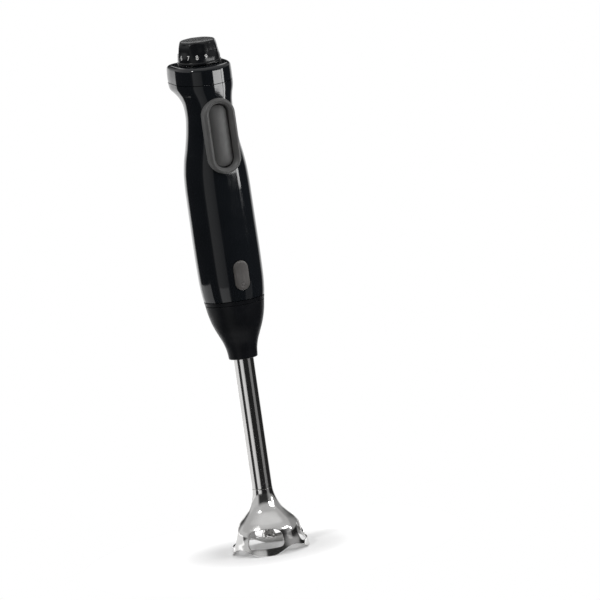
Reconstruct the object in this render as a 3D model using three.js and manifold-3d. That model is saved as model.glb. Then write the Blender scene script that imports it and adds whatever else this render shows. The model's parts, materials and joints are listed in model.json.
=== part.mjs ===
// Immersion blender: a motor handle with a speed dial, trigger and release button,
// and a detachable stainless arm that carries the blade and its guard.
// Millimetres, +Z up, front at -Y. The origin is on the tool's axis, in the plane of the guard's feet.
import * as THREE from 'three';
import { mergeVertices } from 'three/addons/utils/BufferGeometryUtils.js';
import Module from 'manifold-3d';

const wasm = await Module();
wasm.setup();

// ---- driving dimensions ---------------------------------------------------------------------
const GAP = 0.3; // clearance between neighbouring pieces
const WALL = 2.4; // moulded shells
const FINE = 28; // segments round the handle's shells
const ROUND = 16; // segments round a small part

const GUARD_TOP = 50; // the guard's neck meets the tube
const GUARD_WALL = 1.4;
const FOOT_COUNT = 4;
const FOOT_AZIMUTH = -26.5; // degrees from the front to the first foot
const ARCH_HEIGHT = 6; // rise of the rim between the feet
const FOOT_FLAT = 0.38; // how much of the rim each foot's flat takes, as the sine of its angle
const WINDOW_HALF_WIDTH = 13.6;
const WINDOW_BOTTOM = 6.2;
const WINDOW_TOP = 21;

const TUBE_RADIUS = 8.2;
const TUBE_WALL = 1;
const TUBE_TOP = 180;
const SHAFT_RADIUS = 2;
const COLLAR_BOTTOM = 155.6;
const COLLAR_TOP = 200;
const SPIGOT_RADIUS = 10.4; // the collar's plug in the handle
const SPIGOT_BORE = 8.6;
const SPIGOT_TOP = 212;

const RING_BOTTOM = 200.4; // ring that closes the shells' lower end
const RING_TOP = 203.2;
const HOUSING_BOTTOM = 203.6;
const CAP_SEAM = 376; // shells below, top cap above
const CAP_TOP = 390;
const HEAD_TILT = 4.5; // degrees that the cap and its dial rise towards the rear
const TILT_Y = -14; // the tilt's line at the cap's seam
const SEAM_Y = 2.5; // plane between the front and rear shells

const DIAL_Y = 4.3; // the dial's axis lies behind the tool's axis
const DIAL_BOTTOM = 390.8;
const DIAL_HEIGHT = 17.7;
const DIAL_RADIUS = 17.4;
const CAP_SCREW_X = 12.5;
const FLUTE_COUNT = 8;

const TRIGGER_Z = 334.6;
const TRIGGER_WIDTH = 26;
const TRIGGER_HEIGHT = 60;
const TRIGGER_FRONT = -27.4;
const PAD_WIDTH = 17;
const PAD_HEIGHT = 50;
const PAD_DEPTH = 4.2; // how far the pad's face lies behind the surround's crest
const PAD_THICKNESS = 5;
const PAD_CURVE = 15.2; // radius of its domed face
const BUTTON_Z = 223.5;
const BUTTON_WIDTH = 12.6;
const BUTTON_HEIGHT = 23.8;
const BUTTON_FRONT = -24.7;

const MOTOR_RADIUS = 19.2;
const BRACKET_WALL = 1.8;
const STACK_BOTTOM = 238;
const STACK_TOP = 272;
const BORE_RADIUS = 10.6;
const COIL_OVERHANG = 4.5;
const BOLT_RADIUS = 1.3;
const BOLT_REACH = 16.6; // the motor bolts' distance from the axis
const BOLT_AZIMUTHS = { front: 45, rear: 225 };
const MOTOR_SHAFT_RADIUS = 2.5;

const RELEASE_TRAVEL = 2;
const SPRING_SEAT_Y = -10.7; // the release spring's inner end

// Handle sections, bottom to top: height, half width, front and back reach from the axis,
// and how square the back is (2 is round).
const HANDLE = [
  { z: 200, half: 23.5, front: 22.0, back: 25.0, square: 2 },
  { z: 208, half: 24.8, front: 23.2, back: 26.4, square: 2 },
  { z: 220, half: 25.7, front: 23.8, back: 27.6, square: 2 },
  { z: 240, half: 26.0, front: 23.7, back: 28.3, square: 2 },
  { z: 265, half: 25.9, front: 23.3, back: 28.5, square: 2 },
  { z: 290, half: 25.8, front: 23.1, back: 28.5, square: 2 },
  { z: 303, half: 25.3, front: 23.1, back: 28.1, square: 2 },
  { z: 315, half: 23.8, front: 23.0, back: 26.6, square: 2 },
  { z: 327, half: 21.3, front: 23.1, back: 23.8, square: 2 },
  { z: 340, half: 19.3, front: 23.8, back: 21.0, square: 2 },
  { z: 352, half: 18.4, front: 24.6, back: 18.9, square: 2.1 },
  { z: 360, half: 18.8, front: 24.7, back: 18.4, square: 2.3 },
  { z: 366, half: 20.2, front: 24.3, back: 19.6, square: 2.8 },
  { z: 370, half: 21.8, front: 24.1, back: 21.8, square: 3.6 },
  { z: 374, half: 22.9, front: 24.0, back: 25.0, square: 6 },
  { z: 380, half: 23.0, front: 24.0, back: 25.6, square: 7 },
  { z: 390, half: 22.6, front: 23.6, back: 25.2, square: 7 },
];

// ---- materials ------------------------------------------------------------------------------
const finish = (color, roughness, metalness = 0) =>
  new THREE.MeshStandardMaterial({ color, roughness, metalness });
const glossBlack = finish(0x0c1014, 0.12);
const satinBlack = finish(0x1a1c1f, 0.45);
const softGrey = finish(0x565656, 0.6);
const buttonGrey = finish(0x6a6866, 0.5);
const innerPlastic = finish(0x3c3f44, 0.55);
const rubber = finish(0x222222, 0.9);
const stainless = finish(0xc8c8ca, 0.12, 1);
const steel = finish(0x9fa2a6, 0.3, 1);
const zinc = finish(0xb4b6b8, 0.35, 1);
const lamination = finish(0x6d7075, 0.5, 1);
const copper = finish(0xb5652c, 0.35, 1);
const bronze = finish(0xa37a45, 0.4, 1);
const aluminium = finish(0xc2c4c6, 0.4, 1);
const carbon = finish(0x2b2b2d, 0.7);
const boardGreen = finish(0x1f5a34, 0.5);
const yellowPlastic = finish(0xc9a227, 0.5);

// ---- solids ---------------------------------------------------------------------------------
function signedVolume(points, triangles) {
  const corner = (i) => new THREE.Vector3(points[3 * i], points[3 * i + 1], points[3 * i + 2]);
  let volume = 0;
  for (let i = 0; i < triangles.length; i += 3) {
    const [a, b, c] = [corner(triangles[i]), corner(triangles[i + 1]), corner(triangles[i + 2])];
    volume += a.dot(b.cross(c)) / 6;
  }
  return volume;
}

// A closed three.js geometry as a solid, welded, with its faces pointing out.
function solidOf(geometry) {
  const bare = geometry.clone();
  bare.deleteAttribute('normal');
  bare.deleteAttribute('uv');
  const welded = mergeVertices(bare, 1e-4);
  const corners = welded.getIndex().array;
  const points = Float32Array.from(welded.getAttribute('position').array);
  const triangles = [];
  for (let i = 0; i < corners.length; i += 3) {
    const [a, b, c] = [corners[i], corners[i + 1], corners[i + 2]];
    if (a !== b && b !== c && c !== a) triangles.push(a, b, c);
  }
  if (signedVolume(points, triangles) < 0) triangles.reverse();
  const mesh = new wasm.Mesh({
    numProp: 3,
    vertProperties: points,
    triVerts: Uint32Array.from(triangles),
  });
  return new wasm.Manifold(mesh);
}

function geometryOf(solid) {
  const mesh = solid.getMesh();
  const geometry = new THREE.BufferGeometry();
  geometry.setAttribute('position', new THREE.BufferAttribute(Float32Array.from(mesh.vertProperties), 3));
  geometry.setIndex(new THREE.BufferAttribute(Uint32Array.from(mesh.triVerts), 1));
  geometry.computeVertexNormals();
  return geometry;
}

// A profile of [radius, height] points turned about Z.
function turned(profile, segments = ROUND) {
  const points = profile.map(([radius, height]) => new THREE.Vector2(radius, height));
  return solidOf(new THREE.LatheGeometry(points, segments).rotateX(Math.PI / 2));
}

const rod = (radius, bottom, top, segments = ROUND) =>
  turned([[0, bottom], [radius, bottom], [radius, top], [0, top]], segments);

const sleeve = (outer, inner, bottom, top, segments = ROUND) =>
  turned([[inner, bottom], [outer, bottom], [outer, top], [inner, top], [inner, bottom]], segments);

// A box given by its extent along each axis.
function block([x0, x1], [y0, y1], [z0, z1]) {
  const box = new THREE.BoxGeometry(x1 - x0, y1 - y0, z1 - z0);
  return solidOf(box.translate((x0 + x1) / 2, (y0 + y1) / 2, (z0 + z1) / 2));
}

// A rod or hole along Y.
const crossRod = (radius, x, z, y0, y1, segments = 14) =>
  solidOf(new THREE.CylinderGeometry(radius, radius, y1 - y0, segments).translate(x, (y0 + y1) / 2, z));

// A stadium outline centred on the origin, upright.
function stadium(width, height) {
  const radius = width / 2;
  const straight = height / 2 - radius;
  const outline = new THREE.Shape();
  outline.absarc(0, straight, radius, 0, Math.PI, false);
  outline.absarc(0, -straight, radius, Math.PI, 2 * Math.PI, false);
  outline.closePath();
  return outline;
}

// An upright outline pushed back from y0 to y1, its edges rounded by edge.
function pressedBack(outline, centreZ, y0, y1, edge = 0) {
  const geometry = new THREE.ExtrudeGeometry(outline, {
    depth: y1 - y0 - 2 * edge,
    curveSegments: 5,
    bevelEnabled: edge > 0,
    bevelThickness: edge,
    bevelSize: edge,
    bevelOffset: -edge,
    bevelSegments: 2,
  });
  // The outline's X and Y become X and Z, and the extrusion runs towards -Y, with its back at y1.
  return solidOf(geometry.rotateX(Math.PI / 2).translate(0, y1 - edge, centreZ));
}

// A closed body through a list of sections. at(section, angle) gives a point of the outline;
// the angle runs from the front (-Y) towards +X.
function lofted(sections, at, segments = FINE) {
  const rows = sections.length - 1;
  const geometry = new THREE.CylinderGeometry(1, 1, 1, segments, rows);
  const place = geometry.getAttribute('position');
  for (let i = 0; i < place.count; i += 1) {
    const section = sections[Math.round((place.getY(i) + 0.5) * rows)];
    const reach = Math.hypot(place.getX(i), place.getZ(i));
    const [x, y] = at(section, Math.atan2(place.getX(i), place.getZ(i)));
    const middle = (section.back - section.front) / 2;
    place.setXYZ(i, reach * x, middle + reach * (y - middle), section.z);
  }
  return solidOf(geometry);
}

function oval(section, angle) {
  const middle = (section.back - section.front) / 2;
  const depth = (section.back + section.front) / 2;
  const power = Math.cos(angle) < 0 ? 2 / section.square : 1;
  const across = Math.abs(Math.sin(angle)) ** power * Math.sign(Math.sin(angle));
  const along = Math.abs(Math.cos(angle)) ** power * Math.sign(Math.cos(angle));
  return [section.half * across, middle - depth * along];
}

// The handle's section at any height, inset from its surface.
function handleSection(z, inset = 0) {
  const last = HANDLE.length - 2;
  const i = Math.min(Math.max(HANDLE.findIndex((row) => row.z > z) - 1, 0), last);
  const [low, high] = [HANDLE[i], HANDLE[i + 1]];
  const share = z >= high.z ? 1 : (z - low.z) / (high.z - low.z);
  const mix = (key) => THREE.MathUtils.lerp(low[key], high[key], share);
  return {
    z,
    half: mix('half') - inset,
    front: mix('front') - inset,
    back: mix('back') - inset,
    square: mix('square'),
  };
}

const handleBody = (heights, inset = 0) =>
  lofted(heights.map((z) => handleSection(z, inset)), oval);

// ---- scene graph ----------------------------------------------------------------------------
const group = new THREE.Group();

function add(name, solid, material, parent = group) {
  const mesh = new THREE.Mesh(geometryOf(solid), material);
  mesh.name = name;
  parent.add(mesh);
  return mesh;
}

// ---- tilted head ----------------------------------------------------------------------------
// The cap, dial and speed control stand in this group, which tilts them about the cap's seam.
const headPivot = new THREE.Group();
headPivot.position.set(0, TILT_Y, CAP_SEAM);
headPivot.rotation.x = THREE.MathUtils.degToRad(HEAD_TILT);
group.add(headPivot);
const head = new THREE.Group();
head.position.set(0, -TILT_Y, -CAP_SEAM);
headPivot.add(head);

function tilted(solid) {
  return solid.translate([0, -TILT_Y, -CAP_SEAM]).rotate([HEAD_TILT, 0, 0])
    .translate([0, TILT_Y, CAP_SEAM]);
}

// ---- handle shells --------------------------------------------------------------------------
function buildShells() {
  const between = HANDLE.map((row) => row.z).filter((z) => z > HOUSING_BOTTOM && z < CAP_SEAM);
  const outer = handleBody([HOUSING_BOTTOM, ...between, 383]);
  const inner = handleBody([HOUSING_BOTTOM - 1, 220, 290, 303, 315, 340, 352, 366, 374, 384], WALL);
  const triggerHole = pressedBack(
    stadium(TRIGGER_WIDTH + 2 * GAP, TRIGGER_HEIGHT + 2 * GAP), TRIGGER_Z, -40, -10);
  const buttonHole = pressedBack(
    stadium(BUTTON_WIDTH + GAP, BUTTON_HEIGHT + GAP), BUTTON_Z, -40, -10);
  const aboveSeam = tilted(block([-40, 40], [-60, 60], [CAP_SEAM - GAP, 420]));
  const shell = outer.subtract(inner).subtract(aboveSeam);
  const frontHalf = block([-40, 40], [-40, SEAM_Y - GAP / 2], [190, 380]);
  const rearHalf = block([-40, 40], [SEAM_Y + GAP / 2, 40], [190, 380]);
  add('front_housing', shell.intersect(frontHalf).subtract(triggerHole).subtract(buttonHole), glossBlack);
  add('rear_housing', shell.intersect(rearHalf), glossBlack);
}

function buildTopCap() {
  const edge = 3.4; // rounding of the cap's top edge
  const sides = [CAP_SEAM + GAP, 380, CAP_TOP - edge].map((z) => handleSection(z));
  const rounded = [45, 90].map((degrees) => {
    const angle = THREE.MathUtils.degToRad(degrees);
    const section = handleSection(CAP_TOP, edge * (1 - Math.cos(angle)));
    return { ...section, z: CAP_TOP - edge + edge * Math.sin(angle) };
  });
  const outer = lofted([...sides, ...rounded], oval);
  const inner = handleBody([CAP_SEAM - 1, CAP_TOP - WALL], WALL);
  const potHole = rod(3.9, CAP_TOP - 5, CAP_TOP + 5).translate([0, DIAL_Y, 0]);
  const glandHole = crossRod(4.5, 0, 382, 20, 30);
  let cap = outer.subtract(inner).subtract(potHole).subtract(glandHole);
  for (const x of [-CAP_SCREW_X, CAP_SCREW_X]) {
    cap = cap.subtract(rod(1.9, CAP_TOP - 5, CAP_TOP + 5, 12).translate([x, DIAL_Y, 0]));
  }
  add('top_cap', cap, glossBlack, head);
}

function buildBaseRing() {
  const outer = handleBody([RING_BOTTOM, RING_TOP]);
  const inner = rod(SPIGOT_RADIUS + 0.5, RING_BOTTOM - 1, RING_TOP + 1, 24);
  add('base_ring', outer.subtract(inner), satinBlack);
}

// Inner frame: a back plate that holds the board, and a bridge under the cap.
function buildChassis() {
  let frame = block([-CAP_SCREW_X, CAP_SCREW_X], [-7, 12.4], [368.4, 371.4]);
  for (const x of [-CAP_SCREW_X, CAP_SCREW_X]) {
    const boss = rod(3, 370, 387.2, 14).translate([x, DIAL_Y, 0]);
    const pilot = rod(1.5, 373, 390, 12).translate([x, DIAL_Y, 0]);
    frame = frame.add(block([x - 3, x + 3], [DIAL_Y - 3, DIAL_Y + 3], [368.4, 371.4]));
    frame = frame.add(boss).subtract(pilot);
  }
  add('chassis', tilted(frame).add(block([-9, 9], [10.4, 12.4], [303, 371.6])), innerPlastic);
}

// ---- dial and speed control -----------------------------------------------------------------
function buildDial() {
  const dial = new THREE.Group();
  dial.position.set(0, DIAL_Y, DIAL_BOTTOM);
  head.add(dial);
  // Height above the dial's base, radius, and how deep the finger flutes are there.
  const rows = [
    [0, DIAL_RADIUS, 0], [1.4, DIAL_RADIUS, 0], [1.9, 16.9, 0], [6, 16.7, 0.3], [11, 16, 1.2],
    [15.8, 14.6, 0.9], [DIAL_HEIGHT, 12.6, 0],
  ];
  const sections = rows.map(([z, radius, flute]) => ({ z, radius, flute, front: 0, back: 0 }));
  const fluted = (section, angle) => {
    const wave = Math.max(0, -Math.cos(FLUTE_COUNT * angle)) ** 2;
    const radius = section.radius - section.flute * wave;
    return [radius * Math.sin(angle), -radius * Math.cos(angle)];
  };
  const body = lofted(sections, fluted, 32);
  const hollow = rod(15, -1, 5.4, 20).subtract(rod(5.2, -1, 6, ROUND));
  const knob = body.subtract(hollow).subtract(rod(3.2, -1, 13, 16)).subtract(rod(5.6, -1, 2.6, ROUND));
  add('speed_dial', knob, satinBlack, dial);
  add('potentiometer_shaft', rod(2.8, -3.6, 12.6, 16), zinc, dial);
}

function buildSpeedControl() {
  const control = new THREE.Group();
  control.position.set(0, DIAL_Y, 0);
  head.add(control);
  const can = rod(8.4, 374.6, 384.6, 24).add(rod(3.6, 384, 392.2, 18)).subtract(rod(3.1, 386.6, 400, 16));
  add('potentiometer', can, zinc, control);
  const nut = turned([[4.5, 0], [5.4, 0], [5.4, 1.8], [4.5, 1.8], [4.5, 0]], 6);
  add('potentiometer_nut', nut.translate([0, 0, CAP_TOP + GAP]), zinc, control);
}

function buildScrew(name, shank, rim, length, parent = group) {
  const body = turned([
    [0, -length], [shank, -length], [shank, 0], [rim, 0], [rim, 0.9], [rim * 0.7, 1.6], [0, 1.6],
  ], 12);
  const slot = block([-rim, rim], [-0.35, 0.35], [0.9, 3]);
  return add(name, body.subtract(slot), zinc, parent);
}

function buildCapScrews() {
  for (const [side, x] of [['left', -CAP_SCREW_X], ['right', CAP_SCREW_X]]) {
    const screw = buildScrew(`cap_screw_${side}`, 1.2, 2.2, 14, head);
    screw.position.set(x, DIAL_Y, CAP_TOP + GAP);
  }
}

function buildCordEntry() {
  const gland = turned([[2.8, -6], [4.1, -6], [4.1, 0], [5.8, 0], [5.2, 1], [2.8, 1], [2.8, -6]], 18);
  const mesh = add('cord_gland', gland, rubber, head);
  mesh.rotation.x = -Math.PI / 2; // its axis points out of the back
  mesh.position.set(0, 26, 382);
  const clamp = block([-8, 8], [14.4, 18.4], [377.4, 379.4]);
  const saddle = block([-3.5, 3.5], [14.4, 18.4], [376.4, 380.4]);
  add('cord_clamp', clamp.add(saddle), innerPlastic, head);
}

// ---- trigger, switch and electronics --------------------------------------------------------
function buildTrigger() {
  const frame = stadium(TRIGGER_WIDTH, TRIGGER_HEIGHT);
  const outer = pressedBack(frame, TRIGGER_Z, TRIGGER_FRONT, -15, 2);
  const opening = pressedBack(stadium(PAD_WIDTH, PAD_HEIGHT), TRIGGER_Z, -40, -10);
  add('trigger_surround', outer.subtract(opening), softGrey);

  const pad = stadium(PAD_WIDTH - 2 * GAP, PAD_HEIGHT - 2 * GAP);
  const padFront = TRIGGER_FRONT + PAD_DEPTH;
  const padBack = padFront + PAD_THICKNESS;
  const dome = new THREE.CylinderGeometry(PAD_CURVE, PAD_CURVE, PAD_HEIGHT, 64).rotateX(Math.PI / 2);
  dome.translate(0, padFront + PAD_CURVE, TRIGGER_Z);
  const slab = pressedBack(pad, TRIGGER_Z, padFront, padBack, 0.8);
  add('trigger_pad', slab.intersect(solidOf(dome)), softGrey);

  const carrierBack = padBack + GAP + 3.4;
  const plate = pressedBack(stadium(15.6, 49.6), TRIGGER_Z, padBack + GAP, carrierBack);
  const finger = block([-2.5, 2.5], [carrierBack - 1, -11.4], [TRIGGER_Z - 1, TRIGGER_Z + 4]);
  add('trigger_carrier', plate.add(finger), innerPlastic);
  return carrierBack;
}

// A round wire coil along Y, centred on x and z, from y0 to y1.
function coilSpring(x, z, y0, y1, radius, turns, wire) {
  class Helix extends THREE.Curve {
    getPoint(share, target = new THREE.Vector3()) {
      const angle = 2 * Math.PI * turns * share;
      const y = THREE.MathUtils.lerp(y0 + wire, y1 - wire, share);
      return target.set(x + radius * Math.cos(angle), y, z + radius * Math.sin(angle));
    }
  }
  const section = new THREE.Shape();
  section.absarc(0, 0, wire, 0, 2 * Math.PI, false);
  return solidOf(new THREE.ExtrudeGeometry(section, {
    steps: turns * 8,
    curveSegments: 2,
    bevelEnabled: false,
    extrudePath: new Helix(),
  }));
}

function buildSwitch(carrierBack) {
  const bore = crossRod(1.9, 0, TRIGGER_Z + 1.5, -8, -1.6, 12);
  const body = block([-4, 4], [-7.5, 7.3], [TRIGGER_Z - 9, TRIGGER_Z + 9]);
  add('power_switch', body.subtract(bore), innerPlastic);
  add('switch_plunger', crossRod(1.5, 0, TRIGGER_Z + 1.5, -11.1, -5.2, 12), buttonGrey);
  const seatY = -7.5;
  add('trigger_spring', coilSpring(0, TRIGGER_Z - 14, carrierBack + GAP, seatY, 3, 4, 0.35), steel);
  const seat = block([-5, 5], [seatY + GAP, 7.3], [TRIGGER_Z - 18.5, TRIGGER_Z - 9.5]);
  add('spring_seat', seat, innerPlastic);
}

function buildElectronics() {
  add('circuit_board', block([-10, 10], [8, 9.6], [306, 366]), boardGreen);
  const tab = block([-5, 5], [5.9, 7.7], [352, 366]);
  add('triac', tab.add(block([-5, 5], [3.4, 7.7], [352, 359])), carbon);
  let sink = block([-9, 9], [1.2, 3.1], [344, 366]);
  for (const x of [-8, -4, 0, 4, 8]) {
    sink = sink.add(block([x - 0.6, x + 0.6], [-5, 2], [344, 366]));
  }
  add('heat_sink', sink, aluminium);
  add('suppression_capacitor', block([-12.4, -5.2], [-3, 7.6], [313, 327]), yellowPlastic);
  const choke = sleeve(5, 2.4, -3, 3, 18).rotate([0, 90, 0]);
  add('choke_coil', choke.translate([8.4, 2.4, 319]), copper);
}

// ---- release button and latch ---------------------------------------------------------------
function buildRelease() {
  const button = stadium(BUTTON_WIDTH - GAP, BUTTON_HEIGHT - GAP);
  const back = -18.4;
  const plate = [205.4, 207.6]; // the latch plate's level
  const relief = block([-8, 8], [-21, -17], [229, 240]); // clears the motor behind the button
  const key = pressedBack(button, BUTTON_Z, BUTTON_FRONT, back, 0.9).subtract(relief);
  add('release_button', key, buttonGrey);
  const ringInner = SPIGOT_RADIUS + RELEASE_TRAVEL + 0.4;
  const noseInner = SPIGOT_RADIUS + GAP;
  const latch = sleeve(ringInner + 1.8, ringInner, ...plate, 24)
    .add(block([-4, 4], [noseInner, ringInner + 1], plate))
    .add(block([-4, 4], [back + GAP, -ringInner - 0.4], plate))
    .add(block([-4, 4], [back + GAP, back + 2.3], [plate[0], 221]));
  add('latch_ring', latch, steel);
  add('release_spring', coilSpring(0, 216.6, back + 2.6, SPRING_SEAT_Y, 3, 4, 0.35), steel);
}

// ---- motor ----------------------------------------------------------------------------------
// Part of a ring, from one radius to another, half an angle to each side of an azimuth.
function sector(inner, outer, bottom, top, azimuth, halfAngle) {
  const outline = new THREE.Shape();
  const middle = azimuth - Math.PI / 2;
  outline.absarc(0, 0, outer, middle - halfAngle, middle + halfAngle, false);
  outline.absarc(0, 0, inner, middle + halfAngle, middle - halfAngle, true);
  outline.closePath();
  const geometry = new THREE.ExtrudeGeometry(outline, {
    depth: top - bottom, bevelEnabled: false, curveSegments: 5,
  });
  return solidOf(geometry.translate(0, 0, bottom));
}

function boltPlace(azimuth) {
  const angle = THREE.MathUtils.degToRad(azimuth);
  return [BOLT_REACH * Math.sin(angle), -BOLT_REACH * Math.cos(angle)];
}

// The two through holes for the motor bolts.
function boltHoles(solid) {
  return Object.values(BOLT_AZIMUTHS).reduce((cut, azimuth) => {
    const [x, y] = boltPlace(azimuth);
    return cut.subtract(rod(BOLT_RADIUS + 0.5, 200, 310, 8).translate([x, y, 0]));
  }, solid);
}

function buildStator() {
  const slotOuter = 15.4;
  let stack = sleeve(MOTOR_RADIUS, BORE_RADIUS, STACK_BOTTOM, STACK_TOP, 28);
  for (const side of [1, -1]) {
    const azimuth = side * Math.PI / 2;
    stack = stack.subtract(sector(BORE_RADIUS - 1, slotOuter, 230, 280, azimuth, 0.62));
  }
  add('motor_stator', boltHoles(stack), lamination);
  for (const [side, azimuth] of [['front', 0], ['rear', Math.PI]]) {
    const ends = [STACK_BOTTOM - COIL_OVERHANG, STACK_TOP + COIL_OVERHANG];
    const saddle = sector(BORE_RADIUS + 0.9, slotOuter - 0.5, ...ends, azimuth, 1.52);
    const pole = sector(5, 25, STACK_BOTTOM - GAP, STACK_TOP + GAP, azimuth, Math.PI / 2 - 0.6);
    add(`field_coil_${side}`, saddle.subtract(pole), copper);
  }
}

function buildRotor() {
  const coreRadius = BORE_RADIUS - 0.6;
  let core = sleeve(coreRadius, MOTOR_SHAFT_RADIUS + 0.05, STACK_BOTTOM + 1, STACK_TOP - 1, 24);
  const slots = 8;
  for (let i = 0; i < slots; i += 1) {
    const slot = block([-1, 1], [6, coreRadius + 1], [STACK_BOTTOM, STACK_TOP]);
    core = core.subtract(slot.rotate([0, 0, (360 / slots) * i]));
  }
  add('armature_core', core, lamination);
  for (const [side, low, high] of [
    ['lower', STACK_BOTTOM - 4, STACK_BOTTOM + 1 - GAP], ['upper', STACK_TOP - 1 + GAP, STACK_TOP + 5],
  ]) {
    const end = turned([
      [3, low], [8, low], [9.2, (low + high) / 2], [8, high], [3, high], [3, low],
    ], 18);
    add(`armature_winding_${side}`, end, copper);
  }
  add('commutator', sleeve(7, 2.8, 279, 290, 20), bronze);
  add('motor_shaft', rod(MOTOR_SHAFT_RADIUS, 196, 302.4, 16), steel);

  let fan = sleeve(4.4, 2.8, 222, 229, 12).add(sleeve(9, 3.4, 222, 223.2, 16));
  const blades = 7;
  for (let i = 0; i < blades; i += 1) {
    const blade = block([-0.6, 0.6], [3.8, 15], [-3.2, 3.2]).rotate([0, 38, 0]).translate([0, 0, 225.5]);
    fan = fan.add(blade.rotate([0, 0, (360 / blades) * i]));
  }
  const envelope = sleeve(14.6, 2.8, 222, 229, 20);
  add('cooling_fan', fan.intersect(envelope), innerPlastic);
}

function buildMotorFrame() {
  const inner = MOTOR_RADIUS - BRACKET_WALL;
  const lower = turned([
    [8.4, 213], [10.4, 213], [10.4, 217], [MOTOR_RADIUS, 217], [MOTOR_RADIUS, 236.6], [inner, 236.6],
    [inner, 219], [8.4, 219], [8.4, 213],
  ], 24);
  const releaseSpace = block([-8.5, 8.5], [-24, SPRING_SEAT_Y], [205, 237.5]);
  add('lower_motor_bracket', boltHoles(lower.subtract(releaseSpace)), innerPlastic);
  const upper = turned([
    [7.4, 296], [7.4, 302], [9.4, 302], [10.4, 295], [MOTOR_RADIUS, 295], [MOTOR_RADIUS, 273],
    [inner, 273], [inner, 293], [9, 293], [7.4, 296],
  ], 24);
  let holder = upper;
  for (const side of [1, -1]) {
    holder = holder.subtract(block([side > 0 ? 16 : -23, side > 0 ? 23 : -16], [-5, 5], [280.2, 288.8]));
  }
  add('upper_motor_bracket', boltHoles(holder), innerPlastic);
  add('lower_bearing', sleeve(8.1, 2.8, 213, 218, 20), steel);
  add('upper_bearing', sleeve(7.1, 2.8, 296.4, 301.4, 20), steel);
  for (const [side, azimuth] of Object.entries(BOLT_AZIMUTHS)) {
    const bolt = buildScrew(`motor_bolt_${side}`, BOLT_RADIUS, 2.2, 80);
    bolt.position.set(...boltPlace(azimuth), 295 + GAP);
  }
  for (const [side, sign] of [['left', -1], ['right', 1]]) {
    const span = (a, b) => (sign > 0 ? [a, b] : [-b, -a]);
    const tube = block(span(8.2, 19), [-4, 4], [280.6, 288.4]);
    add(`brush_holder_${side}`, tube.subtract(block(span(7, 18), [-2.9, 2.9], [281.7, 287.3])), bronze);
    add(`brush_${side}`, block(span(7.3, 15.6), [-2.6, 2.6], [282, 287]), carbon);
  }
  const damperInner = MOTOR_RADIUS + GAP;
  for (const [side, z] of [['lower', 240], ['upper', 274]]) {
    add(`damper_ring_${side}`, sleeve(damperInner + 0.9, damperInner, z, z + 5, 24), rubber);
  }
}

// ---- arm ------------------------------------------------------------------------------------
function buildCollar() {
  // Height and radius of the tapering collar; its top takes the handle's section.
  const taper = [
    [COLLAR_BOTTOM, 11.4], [162, 12.0], [168, 13.5], [176, 17], [184, 20.2], [193, 22.5],
    [COLLAR_TOP, 23.5],
  ];
  const sections = taper.map(([z, radius]) => {
    const lean = 1.5 * (z - COLLAR_BOTTOM) / (COLLAR_TOP - COLLAR_BOTTOM); // towards the rear
    return { z, half: radius, front: radius - lean, back: radius + lean, square: 2 };
  });
  const outer = lofted(sections, oval).add(rod(SPIGOT_RADIUS, 190, SPIGOT_TOP, 24));
  const cavity = rod(SPIGOT_BORE, TUBE_TOP + GAP, SPIGOT_TOP + 1, 24);
  const tubeBore = rod(TUBE_RADIUS + GAP, COLLAR_BOTTOM - 1, TUBE_TOP + 1, 24);
  const groove = sleeve(SPIGOT_RADIUS + 1, SPIGOT_RADIUS - 0.9, 204.8, 208.2, 24);
  add('arm_collar', outer.subtract(cavity).subtract(tubeBore).subtract(groove), satinBlack);
}

function buildDriveLine() {
  const star = (outer, inner) => {
    const points = 6;
    const outline = new THREE.Shape();
    for (let i = 0; i < 2 * points; i += 1) {
      const radius = i % 2 ? inner : outer;
      const angle = (Math.PI / points) * i;
      outline[i ? 'lineTo' : 'moveTo'](radius * Math.cos(angle), radius * Math.sin(angle));
    }
    outline.closePath();
    return outline;
  };
  const column = (outline, bottom, top) =>
    solidOf(new THREE.ExtrudeGeometry(outline, { depth: top - bottom, bevelEnabled: false })
      .translate(0, 0, bottom));
  const socket = column(star(6.2, 4.8), 190, 200);
  const cup = rod(7.8, 185, 197.4, 24).subtract(socket);
  add('arm_coupling', cup.subtract(rod(SHAFT_RADIUS + 0.05, 184, 190.6, 16)), innerPlastic);
  const dog = column(star(5.8, 4.4), 190.6, 206).add(rod(6.4, 202, 208, 20));
  add('drive_dog', dog.subtract(rod(MOTOR_SHAFT_RADIUS + 0.05, 195.4, 209, 16)), innerPlastic);
  add('drive_shaft', rod(SHAFT_RADIUS, 12, 190, 16), steel);
}

function buildTube() {
  const bottom = GUARD_TOP + GAP;
  add('arm_tube', sleeve(TUBE_RADIUS, TUBE_RADIUS - TUBE_WALL, bottom, TUBE_TOP, 24), stainless);
  const bore = TUBE_RADIUS - TUBE_WALL - GAP;
  add('upper_bush', sleeve(bore, SHAFT_RADIUS + GAP, 166, 174, ROUND), bronze);
  add('middle_bush', sleeve(bore, SHAFT_RADIUS + GAP, 108, 114, ROUND), bronze);
  add('lower_bush', turned([
    [SHAFT_RADIUS + GAP, 34], [5.6, 34], [5.6, 44], [bore, 46], [bore, 66], [4.2, 66], [4.2, 60],
    [SHAFT_RADIUS + GAP, 60], [SHAFT_RADIUS + GAP, 34],
  ]), bronze);
  add('shaft_seal', sleeve(5.4, SHAFT_RADIUS + GAP, 29.6, 33.6, ROUND), rubber);
}

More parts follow.
